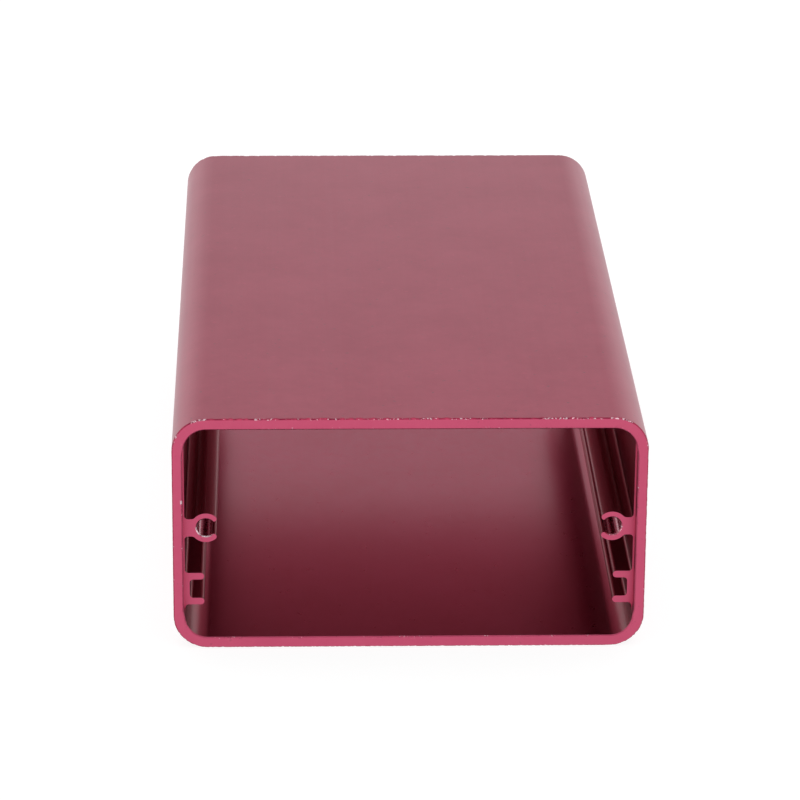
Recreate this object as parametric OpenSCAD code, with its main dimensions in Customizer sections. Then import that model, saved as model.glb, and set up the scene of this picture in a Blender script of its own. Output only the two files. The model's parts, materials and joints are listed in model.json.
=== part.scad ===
// Extruded aluminium enclosure body: an open rounded tube with a screw port and a
// card guide along each side wall, milled back at both ends so that an end plate
// sits flush inside the rim. X is the width, Y the length and Z up; the origin is
// the middle of the face that it stands on.

/* [Shell] */
// Outside width of the tube
width = 66; // [56:1:90]
// Outside height of the tube
height = 34.4; // [32:0.2:60]
// Length that the tube is cut to
length = 120; // [40:5:300]
// Thickness of the four walls
wall = 1.6; // [1.2:0.1:2.4]
// Outside radius of the four long corners
corner_r = 4.8; // [3.4:0.1:7]

/* [Screw ports] */
// Bore that a thread-forming screw bites into
port_bore = 2.6; // [2:0.1:3.2]
// Wall of the port round its bore
port_wall = 0.85; // [0.7:0.05:1.2]
// Clear length of the neck between the side wall and the port
neck_length = 0.85; // [0.7:0.05:2]
// Height of the neck
neck_height = 2.6; // [2:0.1:3]
// Angle of the gap that opens each port towards the middle
gap_angle = 74; // [50:1:80]
// Break on the mouth of each bore
mouth_break = 0.15; // [0.05:0.05:0.3]

/* [Card guides] */
// Clear height of the slot that takes the edge of a circuit board
slot_height = 2.8; // [1.8:0.1:3]
// Depth of the slot
slot_depth = 2.05; // [1.2:0.05:3]
// Thickness of the pad between the slot and the side wall
pad = 0.65; // [0.4:0.05:1.2]
// Thickness of the two ribs that make the slot
rib = 1; // [0.8:0.05:1.4]
// Clear height between the port and the upper rib
guide_gap = 4.7; // [2:0.1:5]

/* [Ends] */
// Depth that the ports and guides are milled back from each end
recess_depth = 2.5; // [1:0.1:4]
// Depth that the cutter bites into the side walls
recess_bite = 0.2; // [0.1:0.05:0.5]
// Break on the sharp edges of each end
edge_break = 0.15; // [0.1:0.05:0.4]

/* [Hidden] */
$fn = 96;

// Radius of the fillets that join ports and guides to the wall
root_r = 0.5;
// Radius of the fillet between a port and its neck
neck_r = 0.7;
// Gap left between the recess and the flat top and bottom walls
floor_skim = 0.3;
// Corner radius of the cutter's path
cutter_r = 4;
// Overlap that keeps cuts clear of coincident faces
eps = 0.01;
// Run of each through cut past the faces that it opens
overcut = 1;

inner_w = width - 2 * wall;
inner_h = height - 2 * wall;
inner_r = corner_r - wall;
port_r = port_bore / 2 + port_wall;
port_mid_r = port_bore / 2 + port_wall / 2;
port_x = inner_w / 2 - neck_length - port_r;
guide_top = -port_r - guide_gap;
guide_h = slot_height + 2 * rib;
guide_reach = pad + slot_depth;
recess_w = inner_w + 2 * recess_bite;
recess_h = inner_h - 2 * floor_skim;

// Rectangle with four round corners, centred on the origin.
module rounded_rect(w, h, r) {
    square([w - 2 * r, h], center = true);
    square([w, h - 2 * r], center = true);
    for (x = [-1, 1], y = [-1, 1])
        translate([x * (w / 2 - r), y * (h / 2 - r)]) circle(r);
}

// Slab of a rounded rectangle whose outline grows by rise from its near face to its
// far face, with every side sloping alike.
module sloped_slab(w, h, r, rise, t) {
    translate([0, (h - 2 * r) / 2, 0]) rotate([90, 0, 0]) linear_extrude(h - 2 * r)
        polygon([[-w / 2, 0], [w / 2, 0], [w / 2 + rise, t], [-w / 2 - rise, t]]);
    translate([-(w - 2 * r) / 2, 0, 0]) rotate([90, 0, 90]) linear_extrude(w - 2 * r)
        polygon([[-h / 2, 0], [h / 2, 0], [h / 2 + rise, t], [-h / 2 - rise, t]]);
    for (x = [-1, 1], y = [-1, 1])
        translate([x * (w / 2 - r), y * (h / 2 - r), 0]) cylinder(h = t, r1 = r, r2 = r + rise);
}

// Wedge from the origin that opens towards -X over the given angle.
module wedge(angle, reach) {
    polygon([[0, 0], [-reach, reach * tan(angle / 2)], [-reach, -reach * tan(angle / 2)]]);
}

// Concave fillet in the corner of the axes, filling the quadrant x < 0, y > 0.
module root_fillet(r) {
    difference() {
        translate([-r, 0]) square(r);
        translate([-r, r]) circle(r);
    }
}

// Section of one screw port, centred on its bore, with the wall towards +X.
module port_section() {
    half_neck = neck_height / 2;
    blend_x = sqrt(pow(port_r + neck_r, 2) - pow(half_neck + neck_r, 2));
    tip_angle = gap_angle + 2 * asin(port_wall / 2 / port_mid_r);
    difference() {
        union() {
            difference() {
                circle(port_r);
                wedge(tip_angle, 2 * port_r);
            }
            difference() {
                circle(port_mid_r);
                wedge(gap_angle, 2 * port_r);
            }
            for (side = [-1, 1])
                rotate(180 + side * tip_angle / 2) translate([port_mid_r, 0]) circle(port_wall / 2);
            translate([0, -half_neck]) square([port_r + neck_length + eps, neck_height]);
            for (side = [0, 1]) mirror([0, side]) {
                difference() {
                    polygon([[0, 0], [blend_x, 0], [blend_x, half_neck + neck_r]]);
                    translate([blend_x, half_neck + neck_r]) circle(neck_r);
                }
                translate([port_r + neck_length, half_neck]) root_fillet(root_r);
            }
        }
        circle(port_bore / 2);
    }
}

// Section of one card guide, with its top at y = 0 and the wall's face at x = 0.
module guide_section() {
    difference() {
        union() {
            translate([-pad, -guide_h]) square([pad + eps, guide_h]);
            for (y = [-rib, -guide_h]) {
                translate([-guide_reach + rib / 2, y]) square([guide_reach - rib / 2 + eps, rib]);
                translate([-guide_reach + rib / 2, y + rib / 2]) circle(rib / 2);
            }
            for (flip = [0, 1]) translate([-pad, -guide_h / 2]) mirror([0, flip])
                translate([0, -slot_height / 2]) root_fillet(root_r);
        }
    }
    root_fillet(root_r);
    translate([0, -guide_h]) mirror([0, 1]) root_fillet(root_r);
}

// Ports and guides of both side walls.
module side_sections() {
    for (side = [0, 1]) mirror([side, 0]) {
        translate([port_x, 0]) port_section();
        translate([inner_w / 2, guide_top]) guide_section();
    }
}

// Tube with its end edges broken, standing on end and centred on the origin.
module tube() {
    difference() {
        union() {
            linear_extrude(length - 2 * edge_break, center = true) rounded_rect(width, height, corner_r);
            for (end = [0, 1]) mirror([0, 0, end]) translate([0, 0, -length / 2])
                sloped_slab(width - 2 * edge_break, height - 2 * edge_break,
                            corner_r - edge_break, edge_break, edge_break);
        }
        linear_extrude(length + 2 * overcut, center = true) rounded_rect(inner_w, inner_h, inner_r);
        for (end = [0, 1]) mirror([0, 0, end]) translate([0, 0, length / 2 - edge_break])
            sloped_slab(inner_w, inner_h, inner_r, edge_break + eps, edge_break + eps);
    }
}

// Cutter for the pocket that one end plate drops into, standing on the pocket's floor:
// its mouth has broken edges, and so has the mouth of each bore.
module end_recess() {
    linear_extrude(recess_depth + overcut) rounded_rect(recess_w, recess_h, cutter_r);
    translate([0, 0, recess_depth - edge_break])
        sloped_slab(recess_w, recess_h, cutter_r, edge_break + eps, edge_break + eps);
    for (side = [-1, 1]) translate([side * port_x, 0, -mouth_break])
        cylinder(h = mouth_break + eps, r1 = port_bore / 2, r2 = port_bore / 2 + mouth_break + eps);
}

// The whole body, lying along Y on its flat bottom wall.
module enclosure_body() {
    color([0.72, 0.17, 0.29])
    translate([0, 0, height / 2]) rotate([90, 0, 0])
    difference() {
        union() {
            tube();
            linear_extrude(length - 2 * recess_depth, center = true) side_sections();
        }
        for (end = [0, 1]) mirror([0, 0, end]) translate([0, 0, length / 2 - recess_depth]) end_recess();
    }
}

enclosure_body();
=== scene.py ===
"""Extruded aluminium enclosure body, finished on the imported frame.

The body is one raspberry anodised extrusion: an open rounded tube with a screw port
and a card guide along each side wall, milled back at both ends. The frame gives the
overall sizes and the places of the ports, and this file adds the fine edges, the
surface finishes and a plain studio.
"""

import json
import logging
import math
from dataclasses import dataclass, replace
from enum import Enum
from typing import Any, Iterable, Optional, Union

import bpy
from mathutils import Matrix, Vector


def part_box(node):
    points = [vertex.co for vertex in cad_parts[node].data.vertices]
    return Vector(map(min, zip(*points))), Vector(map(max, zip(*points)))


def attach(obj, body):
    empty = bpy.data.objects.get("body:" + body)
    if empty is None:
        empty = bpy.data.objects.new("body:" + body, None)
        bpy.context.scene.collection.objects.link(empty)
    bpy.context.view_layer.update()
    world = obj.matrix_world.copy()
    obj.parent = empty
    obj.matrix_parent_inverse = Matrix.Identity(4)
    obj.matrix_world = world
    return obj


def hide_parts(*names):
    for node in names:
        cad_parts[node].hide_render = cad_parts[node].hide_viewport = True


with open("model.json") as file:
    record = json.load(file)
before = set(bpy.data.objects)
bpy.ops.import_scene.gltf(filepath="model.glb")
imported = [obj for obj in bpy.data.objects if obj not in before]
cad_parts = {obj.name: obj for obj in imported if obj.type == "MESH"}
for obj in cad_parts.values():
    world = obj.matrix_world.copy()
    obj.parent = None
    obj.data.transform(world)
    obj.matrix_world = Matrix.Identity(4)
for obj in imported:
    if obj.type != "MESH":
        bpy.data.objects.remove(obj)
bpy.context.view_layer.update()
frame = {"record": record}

NODE = "enclosure_body"
BODY = "root"
EDGE_ATTRIBUTE = "edge_line"
WEAR_ATTRIBUTE = "wear"
SIDE_ATTRIBUTE = "side_wall"
MM = 0.001
WELD = 0.002 * MM
QUARTER, HALF, FULL = 90, 180, 360
SQUARE_ON, SLANTED = 0.9, 0.2

LOG = logging.getLogger("enclosure")

Point = tuple[float, float]
Colour = tuple[float, float, float]


# --------------------------------------------------------------------------- outlines


@dataclass(frozen=True)
class Run:
    """A straight stretch of an outline.

    Args:
        to: Where the stretch ends, as X and Z.
        steps: Into how many edges it is cut.
    """

    to: Point
    steps: int = 1


@dataclass(frozen=True)
class Turn:
    """An arc of an outline, seen from the front.

    Args:
        centre: Middle of the arc, as X and Z.
        degrees: How far it turns; clockwise is positive.
        steps: Into how many edges it is cut.
    """

    centre: Point
    degrees: float
    steps: int

    def end(self, start: Point) -> Point:
        """Works out where the arc arrives.

        Args:
            start: Where it leaves from, as X and Z.

        Returns:
            Where it arrives, as X and Z.
        """
        angle = math.radians(self.degrees)
        dx, dz = start[0] - self.centre[0], start[1] - self.centre[1]
        return (
            self.centre[0] + dx * math.cos(angle) + dz * math.sin(angle),
            self.centre[1] - dx * math.sin(angle) + dz * math.cos(angle),
        )


@dataclass(frozen=True)
class Outline:
    """An open line in the X-Z plane.

    Args:
        start: Where the line starts, as X and Z.
        moves: The stretches and arcs that follow.
    """

    start: Point
    moves: tuple[Union[Run, Turn], ...]

    def drawn(self, name: str, y: float) -> bpy.types.Object:
        """Draws the line with edit-mode operators.

        Args:
            name: Name of the new object.
            y: Station along the length that the line is drawn at.

        Returns:
            The new object, whose mesh is one chain of edges.
        """
        bpy.ops.object.select_all(action="DESELECT")
        bpy.ops.mesh.primitive_plane_add(size=MM, location=(self.start[0], y, self.start[1]))
        drawing = bpy.context.object
        drawing.name = name
        bpy.ops.object.transform_apply(location=True, rotation=True, scale=True)
        bpy.ops.object.mode_set(mode="EDIT")
        bpy.ops.mesh.select_mode(type="VERT")
        bpy.ops.mesh.select_all(action="SELECT")
        bpy.ops.mesh.merge(type="CENTER")
        here = self.start
        for move in self.moves:
            if isinstance(move, Run):
                dx, dz = move.to[0] - here[0], move.to[1] - here[1]
                step = (dx / move.steps, 0, dz / move.steps)
                for _ in range(move.steps):
                    bpy.ops.mesh.extrude_region_move(TRANSFORM_OT_translate={"value": step})
                here = move.to
            else:
                bpy.ops.mesh.spin(
                    steps=move.steps,
                    angle=-math.radians(move.degrees),
                    center=(move.centre[0], y, move.centre[1]),
                    axis=(0, 1, 0),
                )
                here = move.end(here)
        bpy.ops.object.mode_set(mode="OBJECT")
        return drawing


def circles_meet(first: Point, first_r: float, second: Point, second_r: float) -> Point:
    """Finds where two circles cross, on the side with the larger X.

    Args:
        first: Centre of the first circle.
        first_r: Radius of the first circle.
        second: Centre of the second circle.
        second_r: Radius of the second circle.

    Returns:
        The crossing with the larger X.
    """
    dx, dz = second[0] - first[0], second[1] - first[1]
    apart = math.hypot(dx, dz)
    along = (apart**2 + first_r**2 - second_r**2) / (2 * apart)
    off = math.sqrt(max(first_r**2 - along**2, 0.0))
    foot = (first[0] + dx * along / apart, first[1] + dz * along / apart)
    both = [
        (foot[0] + side * off * dz / apart, foot[1] - side * off * dx / apart)
        for side in (-1, 1)
    ]
    return max(both)


def swept(centre: Point, start: Point, end: Point) -> float:
    """Measures the clockwise turn from one point to another.

    Args:
        centre: The point that the turn is about.
        start: Where the turn starts.
        end: Where the turn ends.

    Returns:
        The turn, in degrees.
    """
    leaving = math.atan2(start[1] - centre[1], start[0] - centre[0])
    arriving = math.atan2(end[1] - centre[1], end[0] - centre[0])
    return math.degrees(leaving - arriving) % FULL


def join(parts: list[bpy.types.Object]) -> bpy.types.Object:
    """Joins objects into the first of them.

    Args:
        parts: The objects.

    Returns:
        The first object, which now holds them all.
    """
    bpy.ops.object.select_all(action="DESELECT")
    for part in parts:
        part.select_set(True)
    bpy.context.view_layer.objects.active = parts[0]
    bpy.ops.object.join()
    return parts[0]


# --------------------------------------------------------------------------- shader maths


class Signal:
    """A shader socket that adds Math nodes when it is used in an expression."""

    def __init__(self, graph: "Graph", socket: Optional[bpy.types.NodeSocket]) -> None:
        """Wraps one output socket of a graph."""
        self.graph = graph
        self.socket = socket

    def _with(self, operation: str, first: Any, second: Any) -> "Signal":
        """Adds one Math node."""
        return self.graph.node("ShaderNodeMath", {"operation": operation}, {0: first, 1: second})

    def __add__(self, other: Any) -> "Signal":
        """Sum."""
        return self._with("ADD", self, other)

    __radd__ = __add__

    def __sub__(self, other: Any) -> "Signal":
        """Difference."""
        return self._with("SUBTRACT", self, other)

    def __rsub__(self, other: Any) -> "Signal":
        """Difference from a plain number."""
        return self._with("SUBTRACT", other, self)

    def __mul__(self, other: Any) -> "Signal":
        """Product."""
        return self._with("MULTIPLY", self, other)

    __rmul__ = __mul__

    def between(self, low: float, high: float) -> "Signal":
        """Adds a smooth step.

        Args:
            low: Value where the step is still 0.
            high: Value where the step has reached 1.

        Returns:
            The step as a signal.
        """
        return self.graph.node(
            "ShaderNodeMapRange",
            {"interpolation_type": "SMOOTHSTEP", "clamp": True},
            {"Value": self, "From Min": low, "From Max": high},
        )


@dataclass(frozen=True)
class Noise:
    """A soft noise about one half.

    Args:
        scale: How many features there are in a metre.
        detail: How many finer layers there are.
        rough: How strong the finer layers are.
    """

    scale: float
    detail: float
    rough: float


class Graph:
    """The node tree of a material or of the room, with one method for every node."""

    def __init__(self, owner: Union[bpy.types.Material, bpy.types.World]) -> None:
        """Starts an empty node tree.

        Args:
            owner: The material or the room that the nodes belong to.
        """
        self.owner = owner
        owner.use_nodes = True
        self.tree = owner.node_tree
        self.tree.nodes.clear()

    def node(
        self,
        kind: str,
        settings: Optional[dict[str, Any]] = None,
        inputs: Optional[dict[Union[str, int], Any]] = None,
        output: Union[str, int] = 0,
    ) -> Signal:
        """Adds one node.

        Args:
            kind: Type of the node.
            settings: Properties of the node, such as an operation or a ramp's stops.
            inputs: Values or signals for its sockets, by name or by place.
            output: Which output to hand back.

        Returns:
            The output as a signal, which is empty for an ending node.
        """
        made = self.tree.nodes.new(kind)
        for key, value in (settings or {}).items():
            if key == "stops":
                for element, (place, colour) in zip(made.color_ramp.elements, value):
                    element.position, element.color = place, (*colour, 1.0)
            else:
                setattr(made, key, value)
        for key, value in (inputs or {}).items():
            socket = made.inputs[key]
            if isinstance(value, Signal):
                self.tree.links.new(value.socket, socket)
            elif socket.type == "RGBA":
                socket.default_value = (*value, 1.0)
            else:
                socket.default_value = value
        return Signal(self, made.outputs[output] if made.outputs else None)

    def place(self) -> Signal:
        """Object coordinates."""
        return self.node("ShaderNodeTexCoord", output="Object")

    def written(self, attribute: str) -> Signal:
        """A value that is written on the mesh."""
        return self.node("ShaderNodeAttribute", {"attribute_name": attribute}, output="Fac")

    def stretched(self, place: Signal, scale: tuple[float, float, float]) -> Signal:
        """A place with each axis scaled."""
        return self.node("ShaderNodeMapping", inputs={"Vector": place, "Scale": scale})

    def noise(self, place: Signal, kind: Noise) -> Signal:
        """A noise at a place."""
        look = {"Scale": kind.scale, "Detail": kind.detail, "Roughness": kind.rough}
        return self.node("ShaderNodeTexNoise", inputs={"Vector": place, **look})

    def mixed(self, factor: Signal, first: Any, second: Any) -> Signal:
        """Blends two colours.

        Args:
            factor: 0 for the first colour, and 1 for the second.
            first: The first colour, as a value or a signal.
            second: The second colour, as a value or a signal.

        Returns:
            The blend as a signal.
        """
        return self.node(
            "ShaderNodeMix", {"data_type": "RGBA"}, {0: factor, 6: first, 7: second}, output=2
        )

    def bumped(self, height: Signal) -> Signal:
        """Normal raised by a height in metres."""
        full = {"Distance": 1.0, "Strength": 1.0}
        return self.node("ShaderNodeBump", inputs={"Height": height, **full})

    def finish(self, inputs: dict[Union[str, int], Any]) -> bpy.types.Material:
        """Ends the material with a Principled shader.

        Args:
            inputs: Values or signals for the shader's sockets.

        Returns:
            The material.
        """
        shader = self.node("ShaderNodeBsdfPrincipled", inputs=inputs)
        self.node("ShaderNodeOutputMaterial", inputs={"Surface": shader})
        return self.owner


# --------------------------------------------------------------------------- finishes


class Finish(Enum):
    """The finishes of the body, in the order of its material slots."""

    SKIN = 0
    MILLED = 1
    CAVITY = 2
    BORE = 3
    MOUTH = 4
    STEP = 5


class Wear(Enum):
    """How hard a stretch of edge has been handled: 0 is untouched, above 1 is worn bare."""

    # The lower half of the front left port's mouth is worn bare: partly a real burr, partly a
    # painted highlight where the lit chamfer shines.
    WORN_MOUTH = 1.7
    MOUTH = 0.8
    KNOCK = 1.6
    RIM = 0.35
    # The top corners wear more than the lower ones: real nicks, plus a painted highlight along the
    # lit corner arcs.
    TOP_CORNER = 0.95
    LOW_CORNER = 0.5
    TOP = 0.66
    BOTTOM = 0.4
    SIDE = 0.3


MIDDLE = 0.5
DRIFT = Noise(22.0, 3.0, 0.5)
CLOUD = Noise(90.0, 5.0, 0.6)
PATCH = Noise(330.0, 2.0, 0.5)
MOTTLE = Noise(620.0, 3.0, 0.6)
PALE_SPECK = Noise(980.0, 1.0, 0.5)
DARK_SPECK = Noise(1250.0, 1.0, 0.5)
BRUISE = Noise(2700.0, 3.0, 0.7)
NICK = Noise(3400.0, 2.0, 0.6)
GRAIN = Noise(5200.0, 2.0, 0.6)
LINES = Noise(1.0, 3.0, 0.6)

THIN_RANGE = (0.3, 0.7)
DARK_RANGE = (0.70, 0.78)
PALE_RANGE = (0.71, 0.79)
EDGE_RANGE = (0.7, 1.0)
NICK_RANGE = (1.0, 1.12)
BRUISE_RANGE = (0.95, 1.03)
SIDE_RANGE = (0.0, 1.0)

DRIFT_SHARE, CLOUD_SHARE, MOTTLE_SHARE, LINES_SHARE = 0.25, 0.3, 0.4, 0.05
PATCH_SHARE, WEAR_SHARE = 0.5, 0.25
NICK_STRENGTH, BRUISE_STRENGTH = 0.85, 0.8
MOTTLE_ROUGH, LINES_ROUGH = 0.12, 0.05


@dataclass(frozen=True)
class Anodising:
    """Dyed oxide over aluminium, and how one surface of it looks.

    Args:
        name: Name of the material.
        dye: Colour of the metal seen through the dye.
        faded: Colour where the dye is thinner.
        bare: Colour of the bare metal in a nick; through the wear values it also paints the
            highlight on the top corners and on one port's mouth.
        bruise: Colour of the dents beside a nick.
        pit: Colour inside a pit.
        roughness: Softness of the metal's reflection.
        coat: Strength of the oxide's own reflection.
        coat_roughness: Softness of the oxide's own reflection.
        coat_ior: Refractive index of the oxide.
        edge_tint: Colour of the metal's reflection at a grazing angle.
        blotch: How much the dye varies.
        sheen: How much the oxide's own reflection varies.
        specks: Strength of the scattered pits and pale specks.
        line_scale: Stretch of the lines along X, Y and Z.
        line_depth: Height of the lines, in metres.
        grain_depth: Height of the etched grain, in metres.
        nicks: True where sharp edges are worn through.
        shaded_wall_colour: Colour on the side walls of the cavity, browner than the floor as
            painted shade, or None where it is the same all over.
        wall_coat: Strength of the oxide's reflection on the side walls, weaker than on the floor
            as part of their painted shade.
        wall_roughness: Softness of the metal's reflection on the side walls.
    """

    name: str
    dye: Colour
    faded: Colour
    bare: Colour = (0.88, 0.68, 0.74)
    bruise: Colour = (0.25, 0.018, 0.055)
    pit: Colour = (0.16, 0.03, 0.05)
    roughness: float = 0.4
    coat: float = 1.0
    coat_roughness: float = 0.35
    coat_ior: float = 1.5
    edge_tint: Colour = (0.62, 0.34, 0.40)
    blotch: float = 0.6
    sheen: float = 0.18
    specks: float = 0.7
    line_scale: tuple[float, float, float] = (1400.0, 12.0, 1400.0)
    line_depth: float = 0.004 * MM
    grain_depth: float = 0.004 * MM
    nicks: bool = False
    shaded_wall_colour: Optional[Colour] = None
    wall_coat: float = 0.42
    wall_roughness: float = 0.42

    def material(self) -> bpy.types.Material:
        """Builds the material.

        Returns:
            The material.
        """
        graph = Graph(bpy.data.materials.new(self.name))
        place = graph.place()
        cloud, mottle = graph.noise(place, CLOUD), graph.noise(place, MOTTLE)
        lines = graph.noise(graph.stretched(place, self.line_scale), LINES)
        colour = self.dyed(graph, place, cloud, mottle, lines)
        rough: Any = self.roughness
        coat = (mottle - MIDDLE) * self.sheen + self.coat
        coat = coat + (cloud - MIDDLE) * (self.sheen / 2)
        # The side walls get a browner colour and a weaker oxide reflection: painted shade that
        # darkens them against the floor and the ceiling.
        if self.shaded_wall_colour:
            side = graph.written(SIDE_ATTRIBUTE).between(*SIDE_RANGE)
            colour = graph.mixed(side, colour, self.shaded_wall_colour)
            rough = side * (self.wall_roughness - self.roughness) + rough
            coat = side * (self.wall_coat - self.coat) + coat
        rough = rough + (mottle - MIDDLE) * MOTTLE_ROUGH + (lines - MIDDLE) * LINES_ROUGH
        if self.nicks:
            nicks_and_highlight, bruised = self.worn(graph, place)
            colour = graph.mixed(bruised, colour, self.bruise)
            colour = graph.mixed(nicks_and_highlight, colour, self.bare)
        height = lines * self.line_depth + graph.noise(place, GRAIN) * self.grain_depth
        height = height + mottle * (self.grain_depth / 2)
        return graph.finish(
            {
                "Base Color": colour,
                "Metallic": 1.0,
                "Roughness": rough,
                "Coat Weight": coat,
                "Coat Roughness": self.coat_roughness,
                "Coat IOR": self.coat_ior,
                "Specular Tint": self.edge_tint,
                "Normal": graph.bumped(height),
            }
        )

    def dyed(
        self, graph: Graph, place: Signal, cloud: Signal, mottle: Signal, lines: Signal
    ) -> Signal:
        """Mixes the colour of the dye, with its blotches and specks.

        Args:
            graph: The material's nodes.
            place: Object coordinates.
            cloud: Noise of the larger blotches.
            mottle: Noise of the smaller blotches.
            lines: Noise of the drawn or milled lines.

        Returns:
            The colour.
        """
        blotches = graph.noise(place, DRIFT) * DRIFT_SHARE + cloud * CLOUD_SHARE
        thin = (blotches + mottle * MOTTLE_SHARE + lines * LINES_SHARE).between(*THIN_RANGE)
        colour = graph.mixed(thin * self.blotch, self.dye, self.faded)
        dark = graph.noise(place, DARK_SPECK).between(*DARK_RANGE)
        pale = graph.noise(place, PALE_SPECK).between(*PALE_RANGE)
        colour = graph.mixed(dark * self.specks, colour, self.pit)
        return graph.mixed(pale * self.specks, colour, self.faded)

    def worn(self, graph: Graph, place: Signal) -> tuple[Signal, Signal]:
        """Masks of the wear along the sharp edges, which also carry the painted highlight on the
        top corners and on one port's mouth.

        Args:
            graph: The material's nodes.
            place: Object coordinates.

        Returns:
            Where the dye is worn through, together with that painted highlight, and where it is
            only bruised.
        """
        near = graph.written(EDGE_ATTRIBUTE).between(*EDGE_RANGE)
        wear = graph.written(WEAR_ATTRIBUTE) * WEAR_SHARE
        patches = graph.noise(place, PATCH) * PATCH_SHARE + wear
        nicks_and_highlight = (graph.noise(place, NICK) + patches).between(*NICK_RANGE)
        bruised = (graph.noise(place, BRUISE) + patches).between(*BRUISE_RANGE)
        return near * nicks_and_highlight * NICK_STRENGTH, near * bruised * BRUISE_STRENGTH


MILLED_END = Anodising(
    name="milled_end",
    dye=(0.495, 0.051, 0.128),
    faded=(0.555, 0.067, 0.149),
    roughness=0.42,
    coat=0.73,
    blotch=0.5,
    specks=0.3,
    line_scale=(260.0, 260.0, 2600.0),
    line_depth=0.002 * MM,
    nicks=True,
)

FINISHES: dict[Finish, Anodising] = {
    Finish.SKIN: Anodising(
        name="anodised_skin",
        dye=(0.32, 0.009, 0.050),
        faded=(0.42, 0.024, 0.078),
        roughness=0.42,
        coat=0.58,
        coat_roughness=0.28,
        coat_ior=1.42,
        edge_tint=(0.72, 0.70, 0.72),
        line_depth=0.001 * MM,
        nicks=True,
    ),
    Finish.MILLED: MILLED_END,
    Finish.CAVITY: Anodising(
        name="anodised_cavity",
        dye=(0.315, 0.040, 0.090),
        faded=(0.375, 0.056, 0.120),
        roughness=0.3,
        coat=0.66,
        coat_roughness=0.2,
        specks=0.35,
        edge_tint=(0.55, 0.26, 0.31),
        line_depth=0.001 * MM,
        # Browner colour on the side walls: painted shade.
        shaded_wall_colour=(0.32, 0.056, 0.080),
    ),
    Finish.BORE: Anodising(
        name="anodised_bore",
        dye=(0.36, 0.040, 0.085),
        faded=(0.52, 0.09, 0.16),
        roughness=0.27,
        coat_roughness=0.14,
        specks=0.0,
        line_scale=(2600.0, 30.0, 2600.0),
        line_depth=0.0015 * MM,
    ),
    Finish.MOUTH: Anodising(
        name="countersunk_mouth",
        dye=(0.48, 0.08, 0.14),
        faded=(0.66, 0.22, 0.30),
        roughness=0.25,
        specks=0.0,
        nicks=True,
    ),
    Finish.STEP: replace(MILLED_END, name="milled_step", nicks=False),
}


# --------------------------------------------------------------------------- the body


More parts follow.
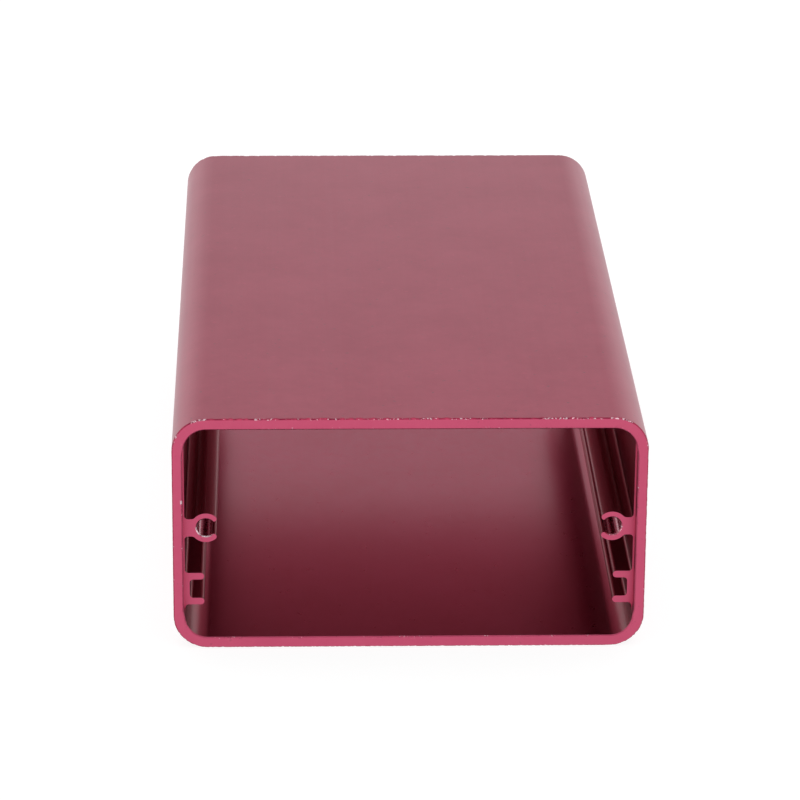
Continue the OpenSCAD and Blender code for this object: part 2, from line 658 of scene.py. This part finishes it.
@dataclass
class EnclosureBody:
    """The extrusion: its sizes, its mesh and its finishes.

    Lengths are in metres. The overall size, the port spacing, the bore and the depth
    of the end pockets come from the frame, and the rest are the section's own sizes.

    Args:
        width: Overall width, along X.
        length: Overall length, along Y.
        height: Overall height, along Z.
        port_x: Distance of a screw port from the middle.
        bore_r: Radius of a screw port's bore.
        recess: Depth of the pocket in each end.
        wall: Thickness of the walls.
        corner_r: Radius of the outer corners.
        port_wall: Thickness of the wall round a bore.
        neck_height: Height of the neck that joins a port to the wall.
        neck_r: Radius where the neck meets the port.
        root_r: Radius where a neck or a rib meets the wall.
        gap_degrees: How wide a port is open.
        guide_gap: Gap between a port and the guide below it.
        slot_height: Height of a card slot.
        slot_depth: Depth of a card slot.
        pad: Thickness of the pad behind a slot.
        rib: Thickness of a rib.
        bite: How far the end pocket is cut into the side walls.
        skim: How far the end pocket stays clear of the floor and the ceiling.
        cutter_r: Radius of the end pocket's corners.
        edge_break: Chamfer of the end edges.
        mouth_break: Chamfer of the ports' mouths.
        lip: Width of each narrow strip that keeps dents near the outer edge.
        nick_depth: Depth of the deepest dent.
        nick_size: Size of a dent.
        nick_layers: How many finer layers the pattern of the dents has.
        nick_range: Values of that pattern where a dent starts and where it is deepest.
        knock: Height of the largest knock above the section's middle.
        arc_steps: Edges in a large arc.
        fillet_steps: Edges in a small radius.
        hidden_steps: Edges in the part of a corner that the pocket cuts away.
        run_steps: Edges across half the width.
        smooth_degrees: Largest bend that is shaded smooth.
    """

    width: float
    length: float
    height: float
    port_x: float
    bore_r: float
    recess: float
    wall: float = 1.6 * MM
    corner_r: float = 4.8 * MM
    port_wall: float = 0.85 * MM
    neck_height: float = 2.6 * MM
    neck_r: float = 0.7 * MM
    root_r: float = 0.5 * MM
    gap_degrees: float = 74.0
    guide_gap: float = 4.7 * MM
    slot_height: float = 2.8 * MM
    slot_depth: float = 2.05 * MM
    pad: float = 0.65 * MM
    rib: float = 1.0 * MM
    bite: float = 0.2 * MM
    skim: float = 0.3 * MM
    cutter_r: float = 4.0 * MM
    edge_break: float = 0.15 * MM
    mouth_break: float = 0.15 * MM
    lip: float = 0.2 * MM
    nick_depth: float = 0.07 * MM
    nick_size: float = 0.35 * MM
    nick_layers: int = 3
    nick_range: tuple[float, float] = (0.5, 0.75)
    knock: float = 4.8 * MM
    arc_steps: int = 20
    fillet_steps: int = 6
    hidden_steps: int = 3
    run_steps: int = 150
    smooth_degrees: float = 30.0

    @classmethod
    def from_frame(cls) -> "EnclosureBody":
        """Reads the overall sizes and the ports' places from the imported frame.

        Returns:
            The body that the frame holds.
        """
        low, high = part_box(NODE)
        mounts = {mount["name"]: mount for mount in frame["record"]["mounts"]}
        ports = mounts["front_plate_screws"]
        return cls(
            width=high.x - low.x,
            length=high.y - low.y,
            height=high.z - low.z,
            port_x=ports["dims"]["spacing_x_mm"] * MM / 2,
            bore_r=ports["dims"]["hole_r_mm"] * MM,
            recess=ports["pos_m"][1] - low.y,
        )

    def __post_init__(self) -> None:
        """Works out the sizes that follow from the others."""
        self.mid = self.height / 2
        self.inner_w = self.width - 2 * self.wall
        self.inner_h = self.height - 2 * self.wall
        self.inner_r = self.corner_r - self.wall
        self.wall_x = self.inner_w / 2
        self.corner = (self.wall_x - self.inner_r, self.inner_h / 2 - self.inner_r)
        self.cutter = (
            self.wall_x + self.bite - self.cutter_r,
            self.inner_h / 2 - self.skim - self.cutter_r,
        )
        self.port_r = self.bore_r + self.port_wall
        self.front = -self.length / 2

    # ------------------------------------------------------------------ outlines

    def lifted(self, start: Point, moves: Iterable[Union[Run, Turn]]) -> Outline:
        """Raises a line from about the section's middle to the body's own height.

        Args:
            start: Where the line starts.
            moves: The stretches and arcs that follow.

        Returns:
            The raised line.
        """
        up = self.mid
        raised = tuple(
            Run((move.to[0], move.to[1] + up), move.steps)
            if isinstance(move, Run)
            else Turn((move.centre[0], move.centre[1] + up), move.degrees, move.steps)
            for move in moves
        )
        return Outline((start[0], start[1] + up), raised)

    def outer(self, inset: float) -> Outline:
        """Right half of the outer skin.

        Args:
            inset: How far the line lies inside the skin.

        Returns:
            The line from the middle of the top to the middle of the bottom.
        """
        half_w, half_h = self.width / 2 - inset, self.height / 2 - inset
        r = self.corner_r - inset
        cx, cz = half_w - r, half_h - r
        moves = (
            Run((cx, half_h), self.run_steps),
            Turn((cx, cz), QUARTER, 2 * self.arc_steps),
            Run((half_w, -cz), self.run_steps // 2),
            Turn((cx, -cz), QUARTER, 2 * self.arc_steps),
            Run((0, -half_h), self.run_steps),
        )
        return self.lifted((0, half_h), moves)

    def rim(self, outset: float) -> Outline:
        """Right half of the pocket's rim, where the cutter and the cavity meet.

        Args:
            outset: How far the line lies outside the pocket's own wall.

        Returns:
            The line from the middle of the top to the middle of the bottom.
        """
        r, rc = self.inner_r + outset, self.cutter_r + outset
        top = (self.corner[0], self.inner_h / 2 + outset)
        meet = circles_meet(self.corner, r, self.cutter, rc)
        side = (self.cutter[0] + rc, self.cutter[1])
        first = swept(self.corner, top, meet)
        second = swept(self.cutter, meet, side)
        low_corner = (self.corner[0], -self.corner[1])
        low_cutter = (self.cutter[0], -self.cutter[1])
        moves = (
            Run(top, self.run_steps),
            Turn(self.corner, first, self.arc_steps),
            Turn(self.cutter, second, self.arc_steps),
            Run((side[0], -side[1]), self.run_steps // 2),
            Turn(low_cutter, second, self.arc_steps),
            Turn(low_corner, first, self.arc_steps),
            Run((0, -top[1]), self.run_steps),
        )
        return self.lifted((0, top[1]), moves)

    def port_moves(self, mouth: float) -> list[Union[Run, Turn]]:
        """Moves down one screw port, from the wall above it to the wall below.

        Args:
            mouth: How much the bore is opened out.

        Returns:
            The moves, about the section's middle.
        """
        half = self.neck_height / 2
        blend_x = math.sqrt((self.port_r + self.neck_r) ** 2 - (half + self.neck_r) ** 2)
        blend = math.degrees(math.atan2(blend_x, half + self.neck_r))
        tip_d, tip_r = self.bore_r + self.port_wall / 2, self.port_wall / 2
        tip = self.gap_degrees / 2 + math.degrees(math.asin(tip_r / tip_d))
        bore = self.bore_r + mouth
        cosine = (bore**2 - tip_d**2 - tip_r**2) / (2 * tip_d * tip_r)
        round_tip = math.degrees(math.acos(max(cosine, -1.0)))
        lead = math.degrees(
            math.atan2(tip_r * math.sin(math.radians(round_tip)), tip_d + tip_r * cosine)
        )
        over = QUARTER + blend - tip
        centre = (self.port_x, 0.0)
        radians = math.radians(tip)
        tips = [
            (self.port_x - tip_d * math.cos(radians), side * tip_d * math.sin(radians))
            for side in (1, -1)
        ]
        root_x = self.wall_x - self.root_r
        n = self.fillet_steps
        return [
            Run((self.wall_x, half + self.root_r)),
            Turn((root_x, half + self.root_r), QUARTER, n),
            Run((self.port_x + blend_x, half)),
            Turn((self.port_x + blend_x, half + self.neck_r), blend, n),
            Turn(centre, -over, 2 * self.arc_steps),
            Turn(tips[0], -round_tip, n),
            Turn(centre, FULL - 2 * (tip - lead), 3 * self.arc_steps),
            Turn(tips[1], -round_tip, n),
            Turn(centre, -over, 2 * self.arc_steps),
            Turn((self.port_x + blend_x, -half - self.neck_r), blend, n),
            Run((root_x, -half)),
            Turn((root_x, -half - self.root_r), QUARTER, n),
        ]

    def guide_moves(self) -> list[Union[Run, Turn]]:
        """Moves down one card guide, from the wall above it to the wall below.

        Returns:
            The moves, about the section's middle.
        """
        top = -self.port_r - self.guide_gap
        root_x = self.wall_x - self.root_r
        pad_x = self.wall_x - self.pad
        tip_x = pad_x - self.slot_depth + self.rib / 2
        n = self.fillet_steps
        slot_top = top - self.rib
        slot_low = slot_top - self.slot_height
        low = slot_low - self.rib
        r = self.root_r
        return [
            Run((self.wall_x, top + r)),
            Turn((root_x, top + r), QUARTER, n),
            Run((tip_x, top)),
            Turn((tip_x, top - self.rib / 2), -HALF, 2 * n),
            Run((pad_x - r, slot_top)),
            Turn((pad_x - r, slot_top - r), QUARTER, n),
            Run((pad_x, slot_low + r)),
            Turn((pad_x - r, slot_low + r), QUARTER, n),
            Run((tip_x, slot_low)),
            Turn((tip_x, slot_low - self.rib / 2), -HALF, 2 * n),
            Run((root_x, low)),
            Turn((root_x, low - r), QUARTER, n),
        ]

    def section(self, mouth: float) -> Outline:
        """Right half of the cavity with its port and guide.

        Args:
            mouth: How much the bore is opened out.

        Returns:
            The line from the middle of the top to the middle of the bottom.
        """
        top = (self.corner[0], self.inner_h / 2)
        meet = circles_meet(self.corner, self.inner_r, self.cutter, self.cutter_r)
        first = swept(self.corner, top, meet)
        low_corner = (self.corner[0], -self.corner[1])
        moves = [
            Run(top, self.run_steps),
            Turn(self.corner, first, self.arc_steps),
            Turn(self.corner, QUARTER - first, self.hidden_steps),
            *self.port_moves(mouth),
            *self.guide_moves(),
            Run((self.wall_x, -self.corner[1])),
            Turn(low_corner, QUARTER - first, self.hidden_steps),
            Turn(low_corner, first, self.arc_steps),
            Run((0, -top[1]), self.run_steps),
        ]
        return self.lifted((0, top[1]), moves)

    # ------------------------------------------------------------------ mesh

    def bridged(
        self, name: str, first: Outline, start: float, second: Outline, end: float
    ) -> bpy.types.Object:
        """Joins two outlines with a strip of faces.

        Args:
            name: Name of the strip.
            first: One outline.
            start: Station of the first outline along Y.
            second: The other outline.
            end: Station of the second outline along Y.

        Returns:
            The strip.
        """
        near, far = first.drawn(name, start), second.drawn(name + "_far", end)
        join([near, far])
        bpy.ops.object.mode_set(mode="EDIT")
        bpy.ops.mesh.select_mode(type="EDGE")
        bpy.ops.mesh.select_all(action="SELECT")
        bpy.ops.mesh.bridge_edge_loops()
        bpy.ops.object.mode_set(mode="OBJECT")
        return near

    def drawn_out(
        self, name: str, outline: Outline, start: float, end: float
    ) -> bpy.types.Object:
        """Draws an outline and extrudes it along the length.

        Args:
            name: Name of the strip.
            outline: The line to extrude.
            start: Station that the strip starts at.
            end: Station that the strip ends at.

        Returns:
            The strip.
        """
        strip = outline.drawn(name, start)
        bpy.ops.object.mode_set(mode="EDIT")
        bpy.ops.mesh.select_mode(type="EDGE")
        bpy.ops.mesh.select_all(action="SELECT")
        bpy.ops.mesh.extrude_region_move(TRANSFORM_OT_translate={"value": (0, end - start, 0)})
        bpy.ops.object.mode_set(mode="OBJECT")
        return strip

    def build(self) -> bpy.types.Object:
        """Models a quarter of the body, closes its end and mirrors it twice.

        Returns:
            The finished body, closed and with its faces outwards.
        """
        front, edge = self.front, self.front + self.edge_break
        floor = front + self.recess
        mouth = floor + self.mouth_break
        insets = [self.edge_break + count * self.lip for count in (2, 1, 0)]
        stations = [edge + count * self.lip for count in (0, 1, 2)] + [0.0]
        strips = [
            self.bridged("face_lip", self.outer(inset), front, self.outer(inset - self.lip), front)
            for inset in insets[:-1]
        ]
        strips += [
            self.drawn_out("skin", self.outer(0), start, end)
            for start, end in zip(stations, stations[1:])
        ]
        strips += [
            self.bridged("skin_edge", self.outer(self.edge_break), front, self.outer(0), edge),
            self.bridged("rim_edge", self.rim(self.edge_break), front, self.rim(0), edge),
            self.drawn_out("pocket", self.rim(0), edge, floor),
            self.bridged("mouth", self.section(self.mouth_break), floor, self.section(0), mouth),
            self.drawn_out("cavity", self.section(0), mouth, 0),
        ]
        body = join(strips)
        body.name = "raspberry_extrusion"
        body.data.name = body.name
        bpy.ops.object.mode_set(mode="EDIT")
        bpy.ops.mesh.select_mode(type="VERT")
        bpy.ops.mesh.select_all(action="SELECT")
        bpy.ops.mesh.remove_doubles(threshold=WELD)
        bpy.ops.object.mode_set(mode="OBJECT")
        self.close_at(body, front, bridge=True)
        self.close_at(body, floor, bridge=False)
        mirror = body.modifiers.new("halves", "MIRROR")
        mirror.use_axis = (True, True, False)
        mirror.use_clip = True
        mirror.merge_threshold = WELD
        bpy.ops.object.modifier_apply(modifier=mirror.name)
        bpy.ops.object.mode_set(mode="EDIT")
        bpy.ops.mesh.select_all(action="SELECT")
        bpy.ops.mesh.remove_doubles(threshold=WELD)
        bpy.ops.mesh.normals_make_consistent(inside=False)
        bpy.ops.mesh.select_all(action="DESELECT")
        bpy.ops.object.mode_set(mode="OBJECT")
        self.nick_edges(body)
        bpy.ops.object.shade_smooth_by_angle(angle=math.radians(self.smooth_degrees))
        return body

    def wear_at(self, x: float, y: float, z: float) -> Wear:
        """How hard a place has been knocked and handled; on the top corners and one port's mouth
        the extra wear is partly a painted highlight.

        Args:
            x: Place across the width.
            y: Place along the length.
            z: Place above the section's middle.

        Returns:
            The wear of the stretch of edge that the place is on.
        """
        cx, cz = self.width / 2 - self.corner_r, self.height / 2 - self.corner_r
        if abs(y) < self.length / 2 - self.recess + WELD:
            on_bore = math.hypot(abs(x) - self.port_x, z) < self.bore_r + self.port_wall / 2
            # Bare metal on the lower half of this one mouth is partly a painted highlight.
            return Wear.WORN_MOUTH if on_bore and x < 0 and y < 0 and z < 0 else Wear.MOUTH
        if abs(x) < self.wall_x + self.wall / 2 and abs(z) < (self.inner_h + self.wall) / 2:
            knocked = x < 0 and y < 0 and abs(z - self.knock) < self.nick_size
            return Wear.KNOCK if knocked else Wear.RIM
        # Extra bare metal on the top corners is partly real nicks and partly a painted highlight.
        if abs(x) > cx and abs(z) > cz:
            return Wear.TOP_CORNER if z > 0 else Wear.LOW_CORNER
        if abs(z) > cz:
            return Wear.TOP if z > 0 else Wear.BOTTOM
        return Wear.SIDE

    def side_at(self, x: float, z: float) -> float:
        """How far a place in the cavity has turned from the floor to a side wall, which weights
        the painted shade on the side walls.

        Args:
            x: Place across the width.
            z: Place above the section's middle.

        Returns:
            0 on the floor and the ceiling, and 1 on the walls, the ports and the guides.
        """
        if abs(z) < self.corner[1]:
            return 1.0
        return min(max((abs(x) - self.corner[0]) / self.inner_r, 0.0), 1.0)

    def finish_at(self, centre: Vector, normal: Vector) -> Finish:
        """Chooses the finish of a face.

        Args:
            centre: Middle of the face.
            normal: Direction that the face looks in.

        Returns:
            The finish.
        """
        x, z = abs(centre.x), abs(centre.z - self.mid)
        past = self.length / 2 - abs(centre.y)
        behind_pocket = past > self.recess - WELD
        outward = normal.x * centre.x + normal.z * (centre.z - self.mid) > 0
        if abs(normal.y) > SQUARE_ON:
            return Finish.STEP if behind_pocket else Finish.MILLED
        if abs(normal.y) > SLANTED and behind_pocket:
            return Finish.MOUTH
        if past < self.edge_break + WELD:
            return Finish.SKIN if outward else Finish.MILLED
        if x > self.wall_x + self.bite + WELD or z > self.inner_h / 2 + WELD:
            return Finish.SKIN
        if x > self.wall_x + WELD and not behind_pocket:
            return Finish.STEP
        if math.hypot(x - self.port_x, z) < self.bore_r + WELD:
            return Finish.BORE
        return Finish.CAVITY

    def dress(self, body: bpy.types.Object) -> None:
        """Gives each face of the body its finish.

        Args:
            body: The finished mesh.
        """
        mesh = body.data
        for finish in Finish:
            mesh.materials.append(FINISHES[finish].material())
        bpy.context.view_layer.objects.active = body
        bpy.context.tool_settings.mesh_select_mode = (False, False, True)
        choice = [self.finish_at(face.center, face.normal) for face in mesh.polygons]
        for finish in Finish:
            body.active_material_index = finish.value
            for item in (*mesh.vertices, *mesh.edges):
                item.select = False
            for face, chosen in zip(mesh.polygons, choice):
                face.select = chosen is finish
            bpy.ops.object.mode_set(mode="EDIT")
            bpy.ops.object.material_slot_assign()
            bpy.ops.object.mode_set(mode="OBJECT")
            LOG.info("%s covers %d faces", FINISHES[finish].name, choice.count(finish))

    def nick_edges(self, body: bpy.types.Object) -> None:
        """Dents the outer edge of both ends and marks where the dye wears through, partly as a
        painted highlight on the top corners and one port's mouth.

        Args:
            body: The closed body.
        """
        half, reach = self.length / 2, self.edge_break + WELD
        skin_w, skin_h = self.width / 2 - reach, self.height / 2 - reach
        cx, cz = self.width / 2 - self.corner_r, self.height / 2 - self.corner_r
        floor, mouth = half - self.recess, half - self.recess - self.mouth_break
        outer, sharp = [], []
        for vertex in body.data.vertices:
            x, y, z = abs(vertex.co.x), abs(vertex.co.y), abs(vertex.co.z - self.mid)
            round_corner = math.hypot(max(x - cx, 0), max(z - cz, 0)) > self.corner_r - reach
            on_skin = x > skin_w or z > skin_h or (x > cx and z > cz and round_corner)
            on_rim = x < self.wall_x + self.bite + reach and z < self.inner_h / 2 + reach
            if y > half - reach and on_skin:
                outer.append(vertex.index)
            on_mouth = mouth - WELD < y < floor + WELD
            sharp.append(float(on_mouth or y > half - reach and (on_skin or on_rim)))
        self.dent(body, outer)
        places = [(spot.co.x, spot.co.y, spot.co.z - self.mid) for spot in body.data.vertices]
        for name, values in (
            (EDGE_ATTRIBUTE, sharp),
            (WEAR_ATTRIBUTE, [self.wear_at(*place).value for place in places]),
            (SIDE_ATTRIBUTE, [self.side_at(x, z) for x, _, z in places]),
        ):
            body.data.attributes.new(name, "FLOAT", "POINT").data.foreach_set("value", values)

    def dent(self, body: bpy.types.Object, vertices: list[int]) -> None:
        """Pushes small dents into some of the vertices.

        Args:
            body: The closed body.
            vertices: Indices of the vertices that can be dented.
        """
        group = body.vertex_groups.new(name="outer_edges")
        group.add(vertices, 1.0, "REPLACE")
        pits = bpy.data.textures.new("edge_pits", "CLOUDS")
        pits.noise_scale = self.nick_size
        pits.noise_depth = self.nick_layers
        pits.use_color_ramp = True
        low, high = pits.color_ramp.elements
        low.position, low.color = self.nick_range[0], (0.0, 0.0, 0.0, 1.0)
        high.position, high.color = self.nick_range[1], (1.0, 1.0, 1.0, 1.0)
        bpy.context.view_layer.objects.active = body
        dents = body.modifiers.new("nicks", "DISPLACE")
        dents.texture = pits
        dents.texture_coords = "LOCAL"
        dents.vertex_group = group.name
        dents.mid_level = 0.0
        dents.strength = -self.nick_depth
        bpy.ops.object.modifier_apply(modifier=dents.name)

    def close_at(self, body: bpy.types.Object, y: float, bridge: bool) -> None:
        """Closes the open edges that lie in one plane across the length.

        Args:
            body: The object to close.
            y: Station of the plane.
            bridge: True to bridge two chains, False to fill one loop.
        """
        mesh = body.data
        uses: dict[tuple[int, int], int] = {}
        for face in mesh.polygons:
            for key in face.edge_keys:
                uses[key] = uses.get(key, 0) + 1
        for item in (*mesh.vertices, *mesh.edges, *mesh.polygons):
            item.select = False
        for edge in mesh.edges:
            ends = [mesh.vertices[i].co for i in edge.vertices]
            level = all(abs(end.y - y) < WELD for end in ends)
            on_mirror = all(abs(end.x) < WELD for end in ends)
            edge.select = level and not on_mirror and uses.get(edge.key, 0) == 1
        bpy.ops.object.mode_set(mode="EDIT")
        bpy.ops.mesh.select_mode(type="EDGE")
        if bridge:
            bpy.ops.mesh.bridge_edge_loops()
        else:
            bpy.ops.mesh.fill(use_beauty=True)
        bpy.ops.mesh.select_mode(type="VERT")
        bpy.ops.object.mode_set(mode="OBJECT")


# --------------------------------------------------------------------------- the studio


@dataclass(frozen=True)
class Softbox:
    """A large soft light that faces the object.

    Args:
        name: Name of the light.
        place: Where it stands, in metres.
        size: Its width and height, in metres.
        power: Its power, in watts.
    """

    name: str
    place: tuple[float, float, float]
    size: tuple[float, float]
    power: float

    def lit(self, target: Vector) -> None:
        """Adds the light.

        Args:
            target: Place that it faces.
        """
        bpy.ops.object.light_add(type="AREA", location=self.place)
        lamp = bpy.context.object
        lamp.name = self.name
        lamp.data.shape = "RECTANGLE"
        lamp.data.size, lamp.data.size_y = self.size
        lamp.data.energy = self.power
        aim = (target - Vector(self.place)).to_track_quat("-Z", "Y")
        lamp.rotation_euler = aim.to_euler()


@dataclass
class Studio:
    """A pale floor, soft lights, a grey room and the camera.

    Args:
        floor_size: Length of each side of the floor, in metres.
        floor_place: Middle of the floor, just under the object.
        floor_colour: Colour of the floor.
        floor_glow: How brightly the floor shines by itself, which softens shadows.
        floor_roughness: Softness of the floor's reflection.
        floor_shine: Strength of the floor's reflection.
        room: Height and grey of the room's two tones, the lower one first.
        room_strength: Brightness of the room.
        softboxes: The lights.
        lens: Focal length of the camera, in millimetres.
        sensor: Width of the camera's sensor, in millimetres.
        nearest: Distance where the camera starts to see, in metres.
        eye: Where the camera stands.
        yaw: Turn of the camera to the right of Y, in radians.
        pitch: How far it looks down, in radians.
        roll: Turn about its own axis, in radians.
    """

    floor_size: float = 12.0
    floor_place: tuple[float, float, float] = (0.0, 2.0, -0.02 * MM)
    floor_colour: Colour = (0.18, 0.18, 0.18)
    floor_glow: float = 0.88
    floor_roughness: float = 0.7
    floor_shine: float = 0.1
    room: tuple[tuple[float, float], tuple[float, float]] = ((0.30, 0.95), (0.55, 0.30))
    room_strength: float = 1.3
    softboxes: tuple[Softbox, ...] = (
        Softbox("overhead", (0.0, 0.15, 1.1), (1.3, 1.3), 6.5),
        Softbox("front_left", (-0.9, -0.9, 0.8), (0.7, 0.7), 0.8),
        Softbox("front_right", (0.9, -0.9, 0.8), (0.7, 0.7), 0.8),
    )
    lens: float = 183.837
    sensor: float = 36.0
    nearest: float = 0.01
    eye: tuple[float, float, float] = (-0.018491, -0.583868, 0.238246)
    yaw: float = 0.032396
    pitch: float = 0.366341
    roll: float = 0.0077626

    def build(self) -> None:
        """Sets up the floor, the lights, the room and the camera."""
        self.lay_floor()
        for softbox in self.softboxes:
            softbox.lit(Vector((0.0, 0.0, 0.0)))
        self.fill_room()
        self.set_camera()

    def lay_floor(self) -> None:
        """Lays a pale floor under the object."""
        bpy.ops.object.select_all(action="DESELECT")
        bpy.ops.mesh.primitive_plane_add(size=self.floor_size, location=self.floor_place)
        floor = bpy.context.object
        floor.name = "studio_floor"
        graph = Graph(bpy.data.materials.new("pale_floor"))
        floor.data.materials.append(
            graph.finish(
                {
                    "Base Color": self.floor_colour,
                    "Roughness": self.floor_roughness,
                    "Specular IOR Level": self.floor_shine,
                    "Emission Color": (1.0, 1.0, 1.0),
                    "Emission Strength": self.floor_glow,
                }
            )
        )

    def fill_room(self) -> None:
        """Surrounds the scene with a grey that is paler towards the horizon."""
        world = bpy.data.worlds.new("grey_room")
        bpy.context.scene.world = world
        graph = Graph(world)
        aim = graph.node("ShaderNodeTexCoord", output="Generated")
        height = graph.node("ShaderNodeSeparateXYZ", inputs={0: aim}, output="Z")
        stops = [(place, (grey, grey, grey)) for place, grey in self.room]
        shade = graph.node("ShaderNodeValToRGB", {"stops": stops}, {0: height})
        look = {"Color": shade, "Strength": self.room_strength}
        glow = graph.node("ShaderNodeBackground", inputs=look)
        graph.node("ShaderNodeOutputWorld", inputs={"Surface": glow})

    def set_camera(self) -> None:
        """Places the camera by its turns about the three axes."""
        ahead = Vector(
            (
                math.sin(self.yaw) * math.cos(self.pitch),
                math.cos(self.yaw) * math.cos(self.pitch),
                -math.sin(self.pitch),
            )
        )
        level = Vector((math.cos(self.yaw), -math.sin(self.yaw), 0.0))
        upright = level.cross(ahead)
        right = level * math.cos(self.roll) + upright * math.sin(self.roll)
        up = upright * math.cos(self.roll) - level * math.sin(self.roll)
        bpy.ops.object.camera_add(location=self.eye)
        camera = bpy.context.object
        camera.name = "studio_camera"
        turn = Matrix((right, up, -ahead)).transposed()
        camera.rotation_euler = turn.to_euler()
        camera.data.sensor_width = self.sensor
        camera.data.lens = self.lens
        camera.data.clip_start = self.nearest
        bpy.context.scene.camera = camera
        bpy.context.scene.view_settings.view_transform = "Standard"


# --------------------------------------------------------------------------- the scene


def main() -> None:
    """Builds the body and the studio."""
    logging.basicConfig(level=logging.INFO, format="%(message)s")
    body = EnclosureBody.from_frame()
    piece = body.build()
    body.dress(piece)
    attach(piece, BODY)
    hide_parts(NODE)
    LOG.info("%s: %d faces", piece.name, len(piece.data.polygons))
    Studio().build()


if __name__ == "__main__":
    main()
